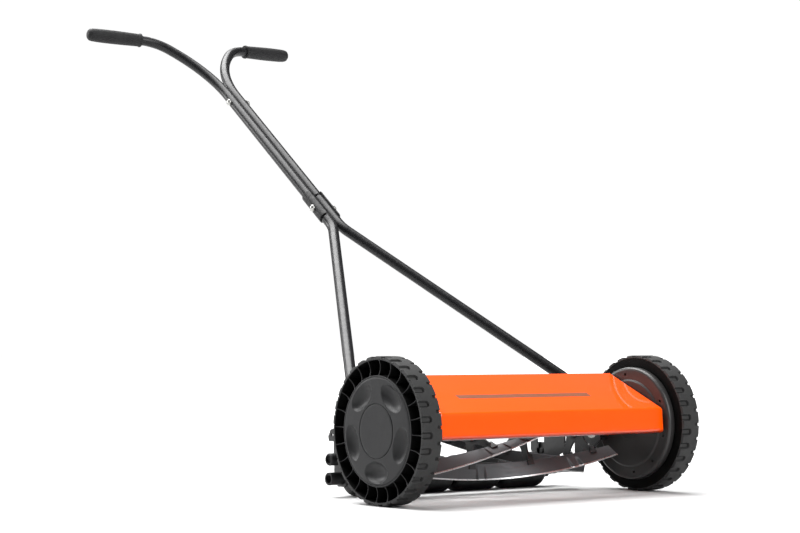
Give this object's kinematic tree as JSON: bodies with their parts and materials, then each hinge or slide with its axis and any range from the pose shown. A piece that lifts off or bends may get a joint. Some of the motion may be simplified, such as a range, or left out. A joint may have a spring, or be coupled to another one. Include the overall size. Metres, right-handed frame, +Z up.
{
  "type": "reel mower",
  "caption": "Push reel mower: helical blades in a steel reel driven by two geared side wheels, bent sheet hood, rear roller with height setting and a T-shaped tube handle.",
  "frame": {"origin": "on the floor, centred between the wheels' outer faces and half-way between the front of the tyres and the rear of the grips", "axes": "+X to the mower's right-hand wheel, along the wheel axle; +Y from the cutting side back towards the grips; +Z up"},
  "size_m": [0.556, 1.0782, 0.8221],
  "materials": {
    "orange_paint": "gloss",
    "graphite_paint": "semi-gloss",
    "black_paint": "satin",
    "blade_steel": "satin",
    "zinc_plate": "satin",
    "bright_steel": "satin",
    "wheel_plastic": "matte",
    "tread_rubber": "matte",
    "bush_bronze": "satin",
    "black_plastic": "matte",
    "tube_coat": "semi-gloss",
    "grip_rubber": "matte"
  },
  "bodies": {
    "chassis": {"hood": "orange_paint", "hood_screws": "zinc_plate", "tie_rod": "black_paint", "bed_knife": "blade_steel", "bed_knife_bar": "blade_steel", "bed_knife_screws": "zinc_plate", "pivot_bolts": "zinc_plate", "axle_clips": "zinc_plate", "side_dish_left": "graphite_paint", "side_plate_left": "black_paint", "bearing_housing_left": "black_paint", "reel_bearing_left": "bright_steel", "wheel_axle_left": "zinc_plate", "side_dish_right": "graphite_paint", "side_plate_right": "black_paint", "bearing_housing_right": "black_paint", "reel_bearing_right": "bright_steel", "wheel_axle_right": "zinc_plate"},
    "reel": {"reel_shaft": "bright_steel", "reel_spider_1": "blade_steel", "reel_spider_2": "blade_steel", "reel_spider_3": "blade_steel", "reel_spider_4": "blade_steel", "reel_blade_1": "blade_steel", "reel_blade_2": "blade_steel", "reel_blade_3": "blade_steel", "reel_blade_4": "blade_steel", "reel_blade_5": "blade_steel", "drive_pinion_left": "bright_steel", "drive_pinion_right": "bright_steel"},
    "roller_frame": {"roller_axle": "bright_steel", "roller_end_caps": "black_plastic", "roller_bracket_left": "black_paint", "roller_bracket_right": "black_paint"},
    "handle": {"handle_bolts": "zinc_plate", "lower_tube_left": "tube_coat", "upper_tube_left": "tube_coat", "clamp_saddle_left": "black_plastic", "grip_left": "grip_rubber", "lower_tube_right": "tube_coat", "upper_tube_right": "tube_coat", "clamp_saddle_right": "black_plastic", "grip_right": "grip_rubber"},
    "road_wheel_left": {"wheel_left": "wheel_plastic", "tyre_left": "tread_rubber", "ring_gear_left": "wheel_plastic", "hub_cap_left": "wheel_plastic", "wheel_bush_left": "bush_bronze"},
    "knob_left": {"height_knob_left": "black_plastic"},
    "road_wheel_right": {"wheel_right": "wheel_plastic", "tyre_right": "tread_rubber", "ring_gear_right": "wheel_plastic", "hub_cap_right": "wheel_plastic", "wheel_bush_right": "bush_bronze"},
    "knob_right": {"height_knob_right": "black_plastic"},
    "roller_1": {"roller_segment_1": "black_plastic"},
    "roller_2": {"roller_segment_2": "black_plastic"},
    "roller_3": {"roller_segment_3": "black_plastic"},
    "roller_4": {"roller_segment_4": "black_plastic"}
  },
  "joints": [
    {"name": "reel_spin", "type": "hinge", "parent": "chassis", "child": "reel", "pos_m": [0, -0.373, 0.0971], "axis": [1, 0, 0], "continuous": true},
    {"name": "wheel_left_spin", "type": "hinge", "parent": "chassis", "child": "road_wheel_left", "pos_m": [-0.25925, -0.432, 0.108], "axis": [1, 0, 0], "continuous": true},
    {"name": "wheel_right_spin", "type": "hinge", "parent": "chassis", "child": "road_wheel_right", "pos_m": [0.25925, -0.432, 0.108], "axis": [1, 0, 0], "continuous": true},
    {"name": "handle_pivot", "type": "hinge", "parent": "chassis", "child": "handle", "pos_m": [0, -0.357, 0.1309], "axis": [1, 0, 0], "range_deg": [0, 60]},
    {"name": "height_adjust", "type": "slide", "parent": "chassis", "child": "roller_frame", "axis": [0, 0, 1], "range_m": [-0.017, 0.034]},
    {"name": "roller_1_spin", "type": "hinge", "parent": "roller_frame", "child": "roller_1", "pos_m": [-0.1464, -0.253, 0.0285], "axis": [1, 0, 0], "continuous": true},
    {"name": "roller_2_spin", "type": "hinge", "parent": "roller_frame", "child": "roller_2", "pos_m": [-0.0488, -0.253, 0.0285], "axis": [1, 0, 0], "continuous": true},
    {"name": "roller_3_spin", "type": "hinge", "parent": "roller_frame", "child": "roller_3", "pos_m": [0.0488, -0.253, 0.0285], "axis": [1, 0, 0], "continuous": true},
    {"name": "roller_4_spin", "type": "hinge", "parent": "roller_frame", "child": "roller_4", "pos_m": [0.1464, -0.253, 0.0285], "axis": [1, 0, 0], "continuous": true},
    {"name": "height_knob_left_pull", "type": "slide", "parent": "roller_frame", "child": "knob_left", "axis": [-1, 0, 0], "range_m": [0, 0.006], "stiffness_N_per_m": 1500, "springref_m": -0.003},
    {"name": "height_knob_right_pull", "type": "slide", "parent": "roller_frame", "child": "knob_right", "axis": [1, 0, 0], "range_m": [0, 0.006], "stiffness_N_per_m": 1500, "springref_m": -0.003}
  ],
  "couplings": [
    {"joint": "wheel_left_spin", "follows": "reel_spin", "ratio": 0.2},
    {"joint": "wheel_right_spin", "follows": "reel_spin", "ratio": 0.2}
  ]
}
